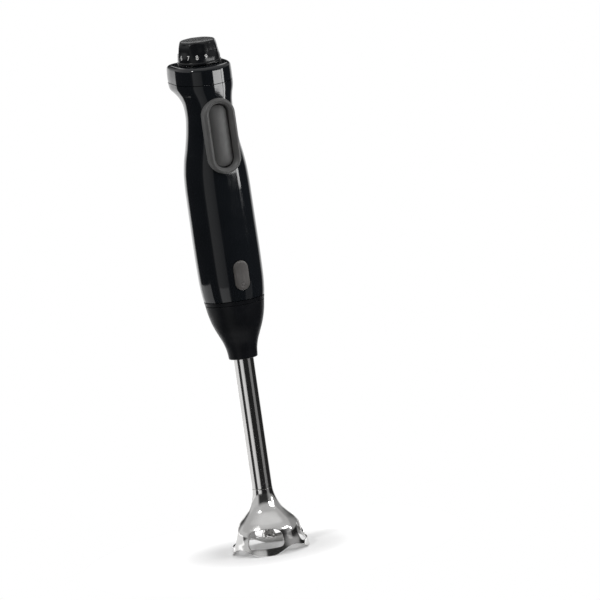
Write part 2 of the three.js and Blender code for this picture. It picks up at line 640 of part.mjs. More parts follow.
// ---- guard and blade ------------------------------------------------------------------------
function buildGuard() {
  const outside = [
    [31, 0], [29.9, 6], [28.3, 13], [26.9, 18.6], [23.4, 23.8], [18.6, 28.4], [13.8, 33.8],
    [9.9, 41.6], [TUBE_RADIUS, GUARD_TOP],
  ];
  const inside = [[TUBE_RADIUS - TUBE_WALL, GUARD_TOP], [7.2, 45.2], [6, 43.2], [6, 32]];
  const wallInside = outside.slice(1, 6).reverse().map(([radius, z]) => [radius - GUARD_WALL, z - 0.7]);
  const profile = [...outside, ...inside, ...wallInside, [31 - GUARD_WALL, 0], outside[0]];
  const points = profile.map(([radius, z]) => new THREE.Vector2(radius, z));
  const geometry = new THREE.LatheGeometry(points, 32).rotateX(Math.PI / 2);
  // Lift the rim into arches between the feet, and raise a ridge down the dome between the windows.
  const place = geometry.getAttribute('position');
  for (let i = 0; i < place.count; i += 1) {
    const [x, y, z] = [place.getX(i), place.getY(i), place.getZ(i)];
    const between = Math.abs(Math.sin(Math.atan2(x, -y) * FOOT_COUNT / 2));
    const rise = Math.max(0, (between - FOOT_FLAT) / (1 - FOOT_FLAT)) ** 1.3;
    const lift = ARCH_HEIGHT * rise * Math.max(0, 1 - z / 14);
    const dome = THREE.MathUtils.smoothstep(z, 6, 18) * (1 - THREE.MathUtils.smoothstep(z, 28, 44));
    const grow = 1 + dome * (0.05 * between ** 3 - 0.025);
    place.setXYZ(i, x * grow, y * grow, z + lift);
  }
  let guard = solidOf(geometry);
  const opening = new THREE.Shape();
  const w = WINDOW_HALF_WIDTH;
  const corner = 3;
  opening.moveTo(-w + corner, WINDOW_BOTTOM);
  opening.lineTo(w - corner, WINDOW_BOTTOM);
  opening.quadraticCurveTo(w, WINDOW_BOTTOM, w, WINDOW_BOTTOM + corner);
  opening.lineTo(w, WINDOW_TOP - corner - 3);
  opening.quadraticCurveTo(w, WINDOW_TOP - 1.5, w - corner, WINDOW_TOP - 1);
  opening.quadraticCurveTo(0, WINDOW_TOP + 1, -w + corner, WINDOW_TOP - 1);
  opening.quadraticCurveTo(-w, WINDOW_TOP - 1.5, -w, WINDOW_TOP - corner - 3);
  opening.lineTo(-w, WINDOW_BOTTOM + corner);
  opening.quadraticCurveTo(-w, WINDOW_BOTTOM, -w + corner, WINDOW_BOTTOM);
  for (let i = 0; i < FOOT_COUNT; i += 1) {
    const cutter = pressedBack(opening, 0, -40, -15);
    guard = guard.subtract(cutter.rotate([0, 0, (360 / FOOT_COUNT) * i]));
  }
  add('blade_guard', guard, stainless).rotation.z = THREE.MathUtils.degToRad(FOOT_AZIMUTH);
}

function buildBlade() {
  const hub = turned([
    [SHAFT_RADIUS + 0.05, 8], [5, 8], [5.4, 9], [5.4, 15], [4, 17], [4, 28], [SHAFT_RADIUS + 0.05, 28],
    [SHAFT_RADIUS + 0.05, 8],
  ], 18);
  const cap = turned([[0, 7], [3.4, 7], [4.2, 7.8], [4.2, 8.4], [0, 8.4]], 18);
  const outline = new THREE.Shape();
  outline.moveTo(-4.6, -3.4);
  outline.quadraticCurveTo(4, -6.6, 13, -5.2);
  outline.quadraticCurveTo(19.4, -3.4, 19.6, 1.2);
  outline.quadraticCurveTo(12, 2.6, 4.4, 4.4);
  outline.closePath();
  const wing = solidOf(new THREE.ExtrudeGeometry(outline, {
    depth: 1.2, bevelEnabled: false, curveSegments: 6,
  }));
  const raised = wing.rotate([0, -9, 0]).translate([0, 0, 11.2]);
  const dropped = wing.rotate([0, 7, 0]).rotate([0, 0, 180]).translate([0, 0, 10.6]);
  const blade = hub.add(cap).add(raised).add(dropped).subtract(rod(SHAFT_RADIUS + 0.05, 8.4, 30, 18));
  add('blade', blade, stainless).rotation.z = THREE.MathUtils.degToRad(-32);
}

buildShells();
buildTopCap();
buildBaseRing();
buildChassis();
buildDial();
buildSpeedControl();
buildCapScrews();
buildCordEntry();
buildSwitch(buildTrigger());
buildElectronics();
buildRelease();
buildStator();
buildRotor();
buildMotorFrame();
buildCollar();
buildDriveLine();
buildTube();
buildGuard();
buildBlade();

export default group;
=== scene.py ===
"""Immersion blender: detailed shells, arm, guard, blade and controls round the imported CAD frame.

Metres, +Z up, front at -Y, origin on the tool's axis in the plane of the guard's feet.
"""
import json
import math

import bmesh
import bpy
from mathutils import Matrix, Vector


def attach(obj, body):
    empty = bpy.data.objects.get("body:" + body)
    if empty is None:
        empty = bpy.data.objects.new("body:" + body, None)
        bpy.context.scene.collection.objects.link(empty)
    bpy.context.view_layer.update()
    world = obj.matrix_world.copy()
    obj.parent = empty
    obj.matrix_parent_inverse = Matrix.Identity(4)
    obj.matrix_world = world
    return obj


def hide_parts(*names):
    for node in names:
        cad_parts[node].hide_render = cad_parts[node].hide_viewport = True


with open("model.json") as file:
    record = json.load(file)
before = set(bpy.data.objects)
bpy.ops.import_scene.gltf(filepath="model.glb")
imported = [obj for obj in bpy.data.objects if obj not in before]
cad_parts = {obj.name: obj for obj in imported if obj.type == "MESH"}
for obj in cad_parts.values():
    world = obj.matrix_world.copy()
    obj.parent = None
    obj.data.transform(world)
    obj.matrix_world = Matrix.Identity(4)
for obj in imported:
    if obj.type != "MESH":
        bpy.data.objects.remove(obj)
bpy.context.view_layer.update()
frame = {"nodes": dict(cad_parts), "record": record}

MM = 0.001
UP = Vector((0, 0, 1))
SHARP_EDGE = 35  # degrees between faces, from which an edge is shaded sharp

# ---- driving dimensions, in millimetres unless they say otherwise -----------------------------
SEAM_Y = 2.5  # plane between the front and rear shells
SEAM_GAP = 0.24
CAP_GAP = 0.15  # between the cap's seam and the edge on either side of it
SHELL_TOP = 383.0  # of the shells before the seam cuts them
RING_BOTTOM, RING_TOP = 200.4, 203.2
HOUSING_BOTTOM, CAP_SEAM, CAP_TOP = 203.6, 376.0, 390.0
WALL = 2.4
RING_POINTS = 192  # points round a handle section
GLAND_Y, GLAND_Z = 26.0, 382.0  # middle of the cord gland, on the back of the cap
HEAD_TILT, TILT_Y = 4.5, -14.0  # degrees the cap rises towards the rear, and the tilt's line

DIAL_Y, DIAL_BOTTOM = 4.3, 390.8
FLUTE_COUNT = 8
NUMBER_STEP = 25  # degrees between the dial's numbers
FRONT_NUMBER = 9  # the number that faces the front
NUMBER_SIZE, NUMBER_HEIGHT = 4.9, 5.9  # their size, and their middle above the dial's foot
NUMBER_RADIUS, NUMBER_PROUD, NUMBER_SQUEEZE = 16.7, 0.02, 0.92  # where they lie, and how narrow

TRIGGER_Z, TRIGGER_WIDTH, TRIGGER_HEIGHT = 334.6, 26.0, 60.0
TRIGGER_FRONT = -27.4
PAD_WIDTH, PAD_HEIGHT, PAD_DEPTH = 17.0, 50.0, 4.2  # depth behind the surround's crest
PAD_DOME, PAD_GAP = 2.4, 0.25  # how far its edges fall away, and its gap to the surround
BUTTON_Z, BUTTON_WIDTH, BUTTON_HEIGHT = 223.5, 12.6, 23.8
STADIUM_POINTS = 144

TUBE_RADIUS, TUBE_WALL, TUBE_TOP = 8.2, 1.0, 180.0
COLLAR_BOTTOM, COLLAR_TOP = 155.6, 200.0
LATCH_GROOVE = 204.8, 208.2  # its lower and upper edge on the collar's spigot
COLLAR_LEAN = 1.5  # how far the collar's top stands behind the axis

GUARD_TOP, GUARD_WALL = 50.0, 1.3
FOOT_COUNT, FOOT_AZIMUTH, FOOT_FLAT = 4, -26.5, 0.38
ARCH_HEIGHT, ARCH_REACH, ARCH_POWER = 6.0, 14, 1.3  # the rim's arches, up to their reach
PANEL_BULGE, FLANK_HOLLOW = 0.062, 0.025  # of the guard's radius, between and above the feet
WINDOW_HALF_ANGLE, WINDOW_BOTTOM, WINDOW_TOP = 29.0, 6.2, 21.2
BLADE_AZIMUTH = -32

# Height, half width, front reach, back reach, and how square the back is (2 is round).
HANDLE = [
    (200, 23.5, 22.0, 25.0, 2), (208, 24.8, 23.2, 26.4, 2), (220, 25.7, 23.8, 27.6, 2),
    (240, 26.0, 23.7, 28.3, 2), (265, 25.9, 23.3, 28.5, 2), (290, 25.8, 23.1, 28.5, 2),
    (303, 25.3, 23.1, 28.1, 2), (315, 23.8, 23.0, 26.6, 2), (327, 21.3, 23.1, 23.8, 2),
    (340, 19.3, 23.8, 21.0, 2), (352, 18.4, 24.6, 18.9, 2.1), (360, 18.8, 24.7, 18.4, 2.3),
    (366, 20.2, 24.3, 19.6, 2.8), (370, 21.8, 24.1, 21.8, 3.6), (374, 22.9, 24.0, 25.0, 6),
    (380, 23.0, 24.0, 25.6, 7), (390, 22.6, 23.6, 25.2, 7),
]

# Height and radius of the collar's taper.
COLLAR = [
    (155.6, 11.5), (159, 11.75), (162, 12.1), (168, 13.6), (174, 16.0), (180, 18.6), (186, 20.7),
    (193, 22.4), (200, 23.5),
]

# Height and radius of the guard's outside, from its rim to its neck.
GUARD = [
    (0, 31.0), (6, 29.9), (13, 28.3), (18.6, 26.9), (23.8, 23.4), (28.4, 18.6), (33.8, 13.8),
    (41.6, 9.9), (46.5, 8.6), (50, 8.2),
]


# ---- small tools ------------------------------------------------------------------------------
def clamp(value, low=0.0, high=1.0):
    return max(low, min(high, value))


def smoothstep(value, low, high):
    t = clamp((value - low) / (high - low))
    return t * t * (3 - 2 * t)


def smooth_row(table, z):
    """The values of a table of (z, ...) rows at height z, on a smooth curve through the rows."""
    z = clamp(z, table[0][0], table[-1][0])
    i = max(k for k in range(len(table) - 1) if table[k][0] <= z)

    def slope(k, c):
        if k in (0, len(table) - 1):
            a, b = (table[0], table[1]) if k == 0 else (table[-2], table[-1])
            return (b[c] - a[c]) / (b[0] - a[0])
        left = (table[k][c] - table[k - 1][c]) / (table[k][0] - table[k - 1][0])
        right = (table[k + 1][c] - table[k][c]) / (table[k + 1][0] - table[k][0])
        return 0.0 if left * right <= 0 else 2 * left * right / (left + right)

    low, high = table[i], table[i + 1]
    span = high[0] - low[0]
    t = (z - low[0]) / span
    out = []
    for c in range(1, len(low)):
        out.append(
            (2 * t**3 - 3 * t**2 + 1) * low[c]
            + (t**3 - 2 * t**2 + t) * span * slope(i, c)
            + (3 * t**2 - 2 * t**3) * high[c]
            + (t**3 - t**2) * span * slope(i + 1, c)
        )
    return out


def mesh_from(name, points, faces):
    mesh = bpy.data.meshes.new(name)
    mesh.from_pydata([Vector(p) * MM for p in points], [], faces)
    mesh.validate()
    return mesh


def head_matrix():
    """The tilt of the cap and dial about the front of the cap's seam, in metres."""
    pivot = Matrix.Translation(Vector((0, TILT_Y, CAP_SEAM)) * MM)
    return pivot @ Matrix.Rotation(math.radians(HEAD_TILT), 4, "X") @ pivot.inverted()


def ring_faces(base, rows, count):
    """The faces between rows of count points each, the first point being number base."""
    faces = []
    for r in range(rows - 1):
        here, above = base + r * count, base + (r + 1) * count
        for i in range(count):
            j = (i + 1) % count
            faces.append((here + i, here + j, above + j, above + i))
    return faces


def loft(name, rings, cap_first=False, cap_last=False):
    """A skin through rings of the same number of points, given in millimetres."""
    count = len(rings[0])
    points = [p for ring in rings for p in ring]
    faces = ring_faces(0, len(rings), count)
    if cap_first:
        faces.append(tuple(range(count))[::-1])
    if cap_last:
        start = (len(rings) - 1) * count
        faces.append(tuple(range(start, start + count)))
    return mesh_from(name, points, faces)


def edit(mesh, *steps):
    """Runs bmesh steps on a mesh, then turns its faces outwards."""
    bm = bmesh.new()
    bm.from_mesh(mesh)
    for step in steps:
        step(bm)
    bmesh.ops.recalc_face_normals(bm, faces=bm.faces[:])
    bm.to_mesh(mesh)
    bm.free()
    return mesh


def weld(bm):
    bmesh.ops.remove_doubles(bm, verts=bm.verts[:], dist=0.002 * MM)


def keep_side(y, sign):
    """Cuts a mesh at a plane across Y and keeps the front (-1) or rear (+1)."""
    def step(bm):
        parts = bm.verts[:] + bm.edges[:] + bm.faces[:]
        bmesh.ops.bisect_plane(
            bm, geom=parts, plane_co=(0, y * MM, 0), plane_no=(0, -sign, 0), clear_outer=True
        )
    return step


def piece(name, mesh, body, slot_name, material, *replaced, sharp=SHARP_EDGE):
    obj = bpy.data.objects.new(name, mesh)
    bpy.context.scene.collection.objects.link(obj)
    mesh.materials.clear()
    mesh.materials.append(material)
    mesh.shade_smooth()
    mesh.set_sharp_from_angle(angle=math.radians(sharp))
    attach(obj, body)
    if replaced:
        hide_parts(*replaced)
    return obj


def bake_modifiers(obj):
    """Applies the object's modifiers to its mesh."""
    graph = bpy.context.evaluated_depsgraph_get()
    mesh = bpy.data.meshes.new_from_object(obj.evaluated_get(graph))
    obj.modifiers.clear()
    obj.data = mesh
    mesh.shade_smooth()
    mesh.set_sharp_from_angle(angle=math.radians(SHARP_EDGE))
    return obj


def thicken(obj, thickness, bevel=0.0, segments=2):
    solid = obj.modifiers.new("wall", "SOLIDIFY")
    solid.thickness = thickness * MM
    solid.offset = -1
    solid.use_even_offset = True
    if bevel:
        edge = obj.modifiers.new("edge", "BEVEL")
        edge.width = bevel * MM
        edge.segments = segments
        edge.limit_method = "ANGLE"
        edge.angle_limit = math.radians(50)
    return bake_modifiers(obj)


# ---- materials --------------------------------------------------------------------------------
NOISE_LOW, NOISE_HIGH = 0.3, 0.7  # the range of a noise that is spread over a whole variation


class Finish:
    """A node material on a Principled shader, with helpers for the detail that drives it."""

    def __init__(self, name, colour, roughness, metallic=0.0, **sockets):
        self.material = bpy.data.materials.new(name)
        self.material.use_nodes = True
        self.tree = self.material.node_tree
        self.shader = self.tree.nodes["Principled BSDF"]
        self.set("Base Color", (*colour, 1))
        self.set("Roughness", roughness)
        self.set("Metallic", metallic)
        for key, value in sockets.items():
            self.set(key.replace("_", " "), value)
        self.place = self.tree.nodes.new("ShaderNodeTexCoord").outputs["Object"]
        self.bumps = None

    def set(self, socket, value):
        self.shader.inputs[socket].default_value = value

    def noise(self, scale, stretch=(1, 1, 1), detail=3.0):
        mapping = self.tree.nodes.new("ShaderNodeMapping")
        mapping.inputs["Scale"].default_value = stretch
        self.tree.links.new(self.place, mapping.inputs["Vector"])
        noise = self.tree.nodes.new("ShaderNodeTexNoise")
        noise.inputs["Scale"].default_value = scale
        noise.inputs["Detail"].default_value = detail
        self.tree.links.new(mapping.outputs["Vector"], noise.inputs["Vector"])
        return noise.outputs["Fac"]

    def cells(self, scale):
        cells = self.tree.nodes.new("ShaderNodeTexVoronoi")
        cells.inputs["Scale"].default_value = scale
        self.tree.links.new(self.place, cells.inputs["Vector"])
        return cells.outputs["Distance"]

    def vary_colour(self, factor, low, high):
        ramp = self.tree.nodes.new("ShaderNodeValToRGB")
        ramp.color_ramp.elements[0].position = NOISE_LOW
        ramp.color_ramp.elements[1].position = NOISE_HIGH
        ramp.color_ramp.elements[0].color = (*low, 1)
        ramp.color_ramp.elements[1].color = (*high, 1)
        self.tree.links.new(factor, ramp.inputs["Fac"])
        self.tree.links.new(ramp.outputs["Color"], self.shader.inputs["Base Color"])
        return self

    def vary_roughness(self, factor, low, high):
        span = self.tree.nodes.new("ShaderNodeMapRange")
        span.inputs["From Min"].default_value = NOISE_LOW
        span.inputs["From Max"].default_value = NOISE_HIGH
        span.inputs["To Min"].default_value = low
        span.inputs["To Max"].default_value = high
        self.tree.links.new(factor, span.inputs["Value"])
        self.tree.links.new(span.outputs["Result"], self.shader.inputs["Roughness"])
        return self

    def bump(self, factor, height, strength=1.0):
        """Relief of a height in millimetres."""
        bump = self.tree.nodes.new("ShaderNodeBump")
        bump.inputs["Strength"].default_value = strength
        bump.inputs["Distance"].default_value = height * MM
        self.tree.links.new(factor, bump.inputs["Height"])
        if self.bumps is not None:
            self.tree.links.new(self.bumps, bump.inputs["Normal"])
        self.bumps = bump.outputs["Normal"]
        self.tree.links.new(self.bumps, self.shader.inputs["Normal"])
        return self


def gloss_plastic():
    look = Finish("gloss_black", (0.0068, 0.0082, 0.0102), 0.07)
    look.vary_colour(look.noise(55, detail=5), (0.0062, 0.0076, 0.0095), (0.0076, 0.009, 0.0112))
    look.vary_roughness(look.noise(160, detail=6), 0.05, 0.1)
    look.bump(look.noise(420, detail=2), 0.004)
    return look.material


def satin_plastic(name, tint, roughness, grain, specular=0.5):
    look = Finish(name, tint, roughness, Specular_IOR_Level=specular)
    darker = tuple(0.82 * c for c in tint)
    lighter = tuple(1.2 * c for c in tint)
    look.vary_colour(look.noise(90, detail=6), darker, lighter)
    look.vary_roughness(look.noise(240, detail=4), roughness - 0.05, roughness + 0.06)
    look.bump(look.noise(2600, detail=2), grain)
    return look.material


def soft_touch(name, tint, roughness):
    look = Finish(name, tint, roughness, Sheen_Weight=0.15, Sheen_Roughness=0.6)
    darker = tuple(0.86 * c for c in tint)
    lighter = tuple(1.12 * c for c in tint)
    look.vary_colour(look.noise(70, detail=7), darker, lighter)
    look.vary_roughness(look.noise(300), roughness - 0.06, roughness + 0.07)
    look.bump(look.cells(2400), 0.012)
    look.bump(look.noise(900, detail=4), 0.02)
    return look.material


def polished_steel(name, streak, roughness=0.09):
    """Polished stainless with fine lines; streak stretches them along or round the part."""
    look = Finish(name, (0.62, 0.615, 0.605), roughness, metallic=1.0)
    look.vary_colour(look.noise(60, detail=5), (0.585, 0.58, 0.57), (0.65, 0.645, 0.64))
    look.vary_roughness(look.noise(500, streak, 4), roughness - 0.03, roughness + 0.07)
    look.bump(look.noise(900, streak, 2), 0.0025)
    return look.material


def plain_metal(name, tint, roughness):
    look = Finish(name, tint, roughness, metallic=1.0)
    look.vary_colour(look.noise(150, detail=5), tuple(0.8 * c for c in tint), tint)
    look.vary_roughness(look.noise(700), roughness - 0.08, roughness + 0.1)
    look.bump(look.noise(1200), 0.01)
    return look.material


def enamel(name, tint, roughness=0.35):
    look = Finish(name, tint, roughness)
    look.vary_colour(look.noise(180, detail=6), tuple(0.75 * c for c in tint), tint)
    look.vary_roughness(look.noise(400), roughness - 0.1, roughness + 0.1)
    look.bump(look.noise(1500), 0.012)
    return look.material


def printed_white():
    look = Finish("number_white", (0.8, 0.8, 0.79), 0.45)
    look.vary_colour(look.noise(1500, detail=4), (0.72, 0.72, 0.71), (0.84, 0.84, 0.83))
    return look.material


LOOKS = {
    "housing_gloss": gloss_plastic(),
    "dial_black": satin_plastic("dial_satin", (0.006, 0.0065, 0.008), 0.24, 0.0006, 0.3),
    "collar_black": satin_plastic("collar_satin", (0.006, 0.0065, 0.008), 0.36, 0.01, 0.12),
    "soft_grey": soft_touch("soft_grey_rubber", (0.074, 0.074, 0.073), 0.5),
    "button_grey": satin_plastic("button_satin", (0.085, 0.08, 0.077), 0.42, 0.01),
    "inner_plastic": satin_plastic("glass_filled_nylon", (0.035, 0.038, 0.042), 0.5, 0.02),
    "black_rubber": soft_touch("moulded_rubber", (0.015, 0.015, 0.016), 0.6),
    "stainless": polished_steel("guard_steel", (1, 1, 6)),
    "steel": plain_metal("ground_steel", (0.5, 0.5, 0.5), 0.3),
    "zinc": plain_metal("zinc_plate", (0.6, 0.6, 0.62), 0.35),
    "lamination": plain_metal("electrical_steel", (0.22, 0.23, 0.25), 0.5),
    "copper": enamel("enamelled_copper", (0.45, 0.16, 0.05)),
    "bronze": plain_metal("sintered_bronze", (0.5, 0.36, 0.18), 0.45),
    "aluminium": plain_metal("extruded_aluminium", (0.7, 0.7, 0.72), 0.4),
    "carbon": enamel("carbon_and_epoxy", (0.025, 0.025, 0.026), 0.55),
    "board_green": enamel("board_green", (0.02, 0.12, 0.045), 0.4),
    "capacitor_yellow": enamel("capacitor_case", (0.6, 0.36, 0.04), 0.4),
}
TUBE_STEEL = polished_steel("tube_steel", (8, 8, 1), 0.1)
NUMBER_WHITE = printed_white()


def dress_cad_nodes():
    for row in frame["record"]["subparts"]:
        data = frame["nodes"][row["node"]].data
        data.materials.clear()
        data.materials.append(LOOKS[row["material_slot"]])


# ---- handle shells ----------------------------------------------------------------------------
def outline_point(section, angle):
    """A point of a handle section; the angle runs from the front towards +X."""
    half, front, back, square = section
    middle, depth = (back - front) / 2, (back + front) / 2
    power = 2 / square if math.cos(angle) < 0 else 1.0
    across = math.copysign(abs(math.sin(angle)) ** power, math.sin(angle))
    along = math.copysign(abs(math.cos(angle)) ** power, math.cos(angle))
    return half * across, middle - depth * along


def section_ring(z, inset=0.0, at=None):
    """Evenly spaced points round the handle's section at z, inset from its surface."""
    half, front, back, square = smooth_row(HANDLE, z)
    section = (half - inset, front - inset, back - inset, square)
    fine = 720
    dense = [outline_point(section, 2 * math.pi * i / fine) for i in range(fine + 1)]
    lengths = [0.0]
    for (x0, y0), (x1, y1) in zip(dense, dense[1:]):
        lengths.append(lengths[-1] + math.hypot(x1 - x0, y1 - y0))
    ring, k = [], 0
    for i in range(RING_POINTS):
        want = lengths[-1] * i / RING_POINTS
        while lengths[k + 1] < want:
            k += 1
        t = (want - lengths[k]) / (lengths[k + 1] - lengths[k])
        x = dense[k][0] + t * (dense[k + 1][0] - dense[k][0])
        y = dense[k][1] + t * (dense[k + 1][1] - dense[k][1])
        ring.append((x, y, z if at is None else at))
    return ring


def front_surface(x, z):
    """The handle's front surface at x and z, as a Y in millimetres."""
    half, front, back, _ = smooth_row(HANDLE, z)
    middle, depth = (back - front) / 2, (back + front) / 2
    return middle - depth * math.sqrt(max(0.0, 1 - (x / half) ** 2))


def heights_between(low, high, step):
    count = max(1, round((high - low) / step))
    return [low + (high - low) * i / count for i in range(count + 1)]


def stadium_ring(width, height, centre_z, y):
    """Points round an upright stadium; y is a depth or a function of x and z."""
    radius = width / 2
    straight = height / 2 - radius
    total = 2 * math.pi * radius + 4 * straight
    ring = []
    for i in range(STADIUM_POINTS):
        s = total * i / STADIUM_POINTS
        if s < math.pi * radius:
            a = s / radius
            x, z = radius * math.cos(a), straight + radius * math.sin(a)
        elif s < math.pi * radius + 2 * straight:
            x, z = -radius, straight - (s - math.pi * radius)
        elif s < 2 * math.pi * radius + 2 * straight:
            a = math.pi + (s - math.pi * radius - 2 * straight) / radius
            x, z = radius * math.cos(a), -straight + radius * math.sin(a)
        else:
            x, z = radius, -straight + (s - 2 * math.pi * radius - 2 * straight)
        depth = y(x, centre_z + z) if callable(y) else y
        ring.append((x, depth, centre_z + z))
    return ring


def cut_hole(obj, width, height, centre_z):
    """Cuts an upright stadium through the front of a shell."""
    rings = [stadium_ring(width, height, centre_z, y) for y in (-40, -8)]
    cutter = bpy.data.objects.new("cutter", edit(loft("cutter", rings, True, True)))
    bpy.context.scene.collection.objects.link(cutter)
    hole = obj.modifiers.new("hole", "BOOLEAN")
    hole.object = cutter
    hole.operation = "DIFFERENCE"
    hole.solver = "EXACT"
    bake_modifiers(obj)
    bpy.data.objects.remove(cutter)


def build_shells():
    lip = 0.35  # rounding where the shells meet the cap and the ring
    rings = [section_ring(HOUSING_BOTTOM, lip)]
    rings += [section_ring(z) for z in heights_between(HOUSING_BOTTOM + lip, SHELL_TOP, 1.1)]
    tilt = head_matrix()
    seam_point = tilt @ (Vector((0, 0, CAP_SEAM - CAP_GAP)) * MM)
    seam_normal = tilt.to_3x3() @ UP

    def below_seam(bm):
        parts = bm.verts[:] + bm.edges[:] + bm.faces[:]
        bmesh.ops.bisect_plane(
            bm, geom=parts, plane_co=seam_point, plane_no=seam_normal, clear_outer=True
        )

    gloss = LOOKS["housing_gloss"]
    for name, sign in (("front_shell", -1), ("rear_shell", 1)):
        mesh = loft(name, rings)
        edit(mesh, below_seam, keep_side(SEAM_Y + sign * SEAM_GAP / 2, sign))
        replaced = "front_housing" if sign < 0 else "rear_housing"
        shell = piece(name, mesh, "handle", "housing_gloss", gloss, replaced)
        thicken(shell, WALL)
        if sign < 0:
            cut_hole(shell, TRIGGER_WIDTH - 2, TRIGGER_HEIGHT - 2, TRIGGER_Z)
            cut_hole(shell, BUTTON_WIDTH + 0.5, BUTTON_HEIGHT + 0.5, BUTTON_Z)


def build_cap():
    edge, lip = 3.4, 0.2
    bottom = CAP_SEAM + CAP_GAP
    rings = [section_ring(bottom, WALL), section_ring(bottom, lip)]
    rings += [section_ring(z) for z in heights_between(bottom + lip, CAP_TOP - edge, 1.0)]
    for step in range(1, 13):
        angle = math.radians(90 * step / 12)
        z = CAP_TOP - edge + edge * math.sin(angle)
        rings.append(section_ring(CAP_TOP - edge, edge * (1 - math.cos(angle)), z))
    rim = rings[-1]
    for share in (0.15, 0.35, 0.6, 0.8):
        rings.append([(x - share * x, y + share * (DIAL_Y - y), z) for x, y, z in rim])
    mesh = edit(loft("top_cover", rings))
    mesh.transform(head_matrix())
    piece("top_cover", mesh, "handle", "housing_gloss", LOOKS["housing_gloss"], "top_cap")


def build_base_ring():
    lip = 0.08
    rings = [section_ring(RING_BOTTOM, 11), section_ring(RING_BOTTOM, lip)]
    rings += [section_ring(z) for z in heights_between(RING_BOTTOM + lip, RING_TOP - lip, 0.8)]
    rings += [section_ring(RING_TOP, lip), section_ring(RING_TOP, 11)]
    closed = edit(loft("lower_trim_ring", rings + rings[:1]), weld)
    piece("lower_trim_ring", closed, "handle", "collar_black", LOOKS["collar_black"], "base_ring")


def build_gland():
    """Ribbed rubber bush in the back of the cap, where the mains cord would enter."""
    profile = [(2.8, -6), (4.1, -6), (4.1, -0.2), (5.6, -0.2), (5.8, 0.1), (5.7, 0.6), (5.2, 0.95),
               (4.2, 1.0), (3.6, 0.8), (3.1, 0.9), (2.8, 0.7), (2.8, -6)]
    count = 48
    rings = []
    for radius, out in profile:
        rings.append([
            (radius * math.cos(a), GLAND_Y + out, GLAND_Z + radius * math.sin(a))
            for a in (2 * math.pi * i / count for i in range(count))
        ])
    mesh = edit(loft("cord_bush", rings), weld)
    mesh.transform(head_matrix())
    piece("cord_bush", mesh, "handle", "black_rubber", LOOKS["black_rubber"], "cord_gland")


# ---- dial -------------------------------------------------------------------------------------
DIAL = [
    (0, 17.35), (0.25, 17.4), (1.25, 17.4), (1.5, 17.25), (1.75, 16.95), (2.1, 16.85), (4, 16.8),
    (8, 16.5), (12, 15.95), (14.6, 15.4), (16, 14.9), (16.9, 14.2), (17.45, 13.3), (17.7, 12.3),
]


def dial_radius(height, angle):
    radius = smooth_row(DIAL, height)[0]
    deep = 1.15 * smoothstep(height, 4.0, 10.5) * (1 - 0.75 * smoothstep(height, 15.2, 17.7))
    hollow = 0.5 - 0.5 * math.cos(FLUTE_COUNT * angle)
    return radius - deep * hollow**0.8


def build_dial():
    around = 240
    angles = [2 * math.pi * i / around for i in range(around)]

    def ring(height, inset=0.0, radius=None):
        out = []
        for a in angles:
            r = (dial_radius(height, a) if radius is None else radius) - inset
            out.append((r * math.sin(a), DIAL_Y - r * math.cos(a), DIAL_BOTTOM + height))
        return out

    rings = [ring(0, radius=r) for r in (6, 15)] + [ring(0, 0.1)]
    heights = [0.08, 0.25, 0.7, 1.25, 1.4, 1.5, 1.62, 1.75, 1.9, 2.1]
    heights += heights_between(2.6, 15.0, 0.5) + [15.5, 16, 16.4, 16.8, 17.1, 17.35, 17.55, 17.7]
    rings += [ring(h) for h in heights]
    top = rings[-1]
    for share, sink in ((0.04, 0.0), (0.1, 0.04), (0.3, 0.16), (0.6, 0.28), (0.9, 0.34)):
        rings.append([
            (x * (1 - share), DIAL_Y + (y - DIAL_Y) * (1 - share), z - sink) for x, y, z in top
        ])
    mesh = edit(loft("dial_knob", rings, cap_last=True))
    mesh.transform(head_matrix())
    piece("dial_knob", mesh, "dial", "dial_black", LOOKS["dial_black"], "speed_dial", sharp=40)


def build_numbers():
    """The numbers 1 to 9 round the dial's foot, each wrapped on its side."""
    for number in range(1, 10):
        curve = bpy.data.curves.new("number", "FONT")
        curve.body = str(number)
        curve.size = NUMBER_SIZE
        curve.align_x = "CENTER"
        curve.align_y = "CENTER"
        curve.extrude = 0.03
        curve.offset = 0.07
        curve.resolution_u = 6
        text = bpy.data.objects.new("number", curve)
        bpy.context.scene.collection.objects.link(text)
        graph = bpy.context.evaluated_depsgraph_get()
        mesh = bpy.data.meshes.new_from_object(text.evaluated_get(graph))
        bpy.data.objects.remove(text)
        azimuth = math.radians(NUMBER_STEP * (number - FRONT_NUMBER))
        for vertex in mesh.vertices:
            x, up, out = vertex.co
            radius = smooth_row(DIAL, NUMBER_HEIGHT + up)[0] + NUMBER_PROUD + out
            angle = azimuth + NUMBER_SQUEEZE * x / NUMBER_RADIUS
            z = DIAL_BOTTOM + NUMBER_HEIGHT + up
            place = (radius * math.sin(angle), DIAL_Y - radius * math.cos(angle), z)
            vertex.co = Vector(place) * MM
        mesh.transform(head_matrix())
        piece(f"dial_number_{number}", mesh, "dial", "dial_black", NUMBER_WHITE)


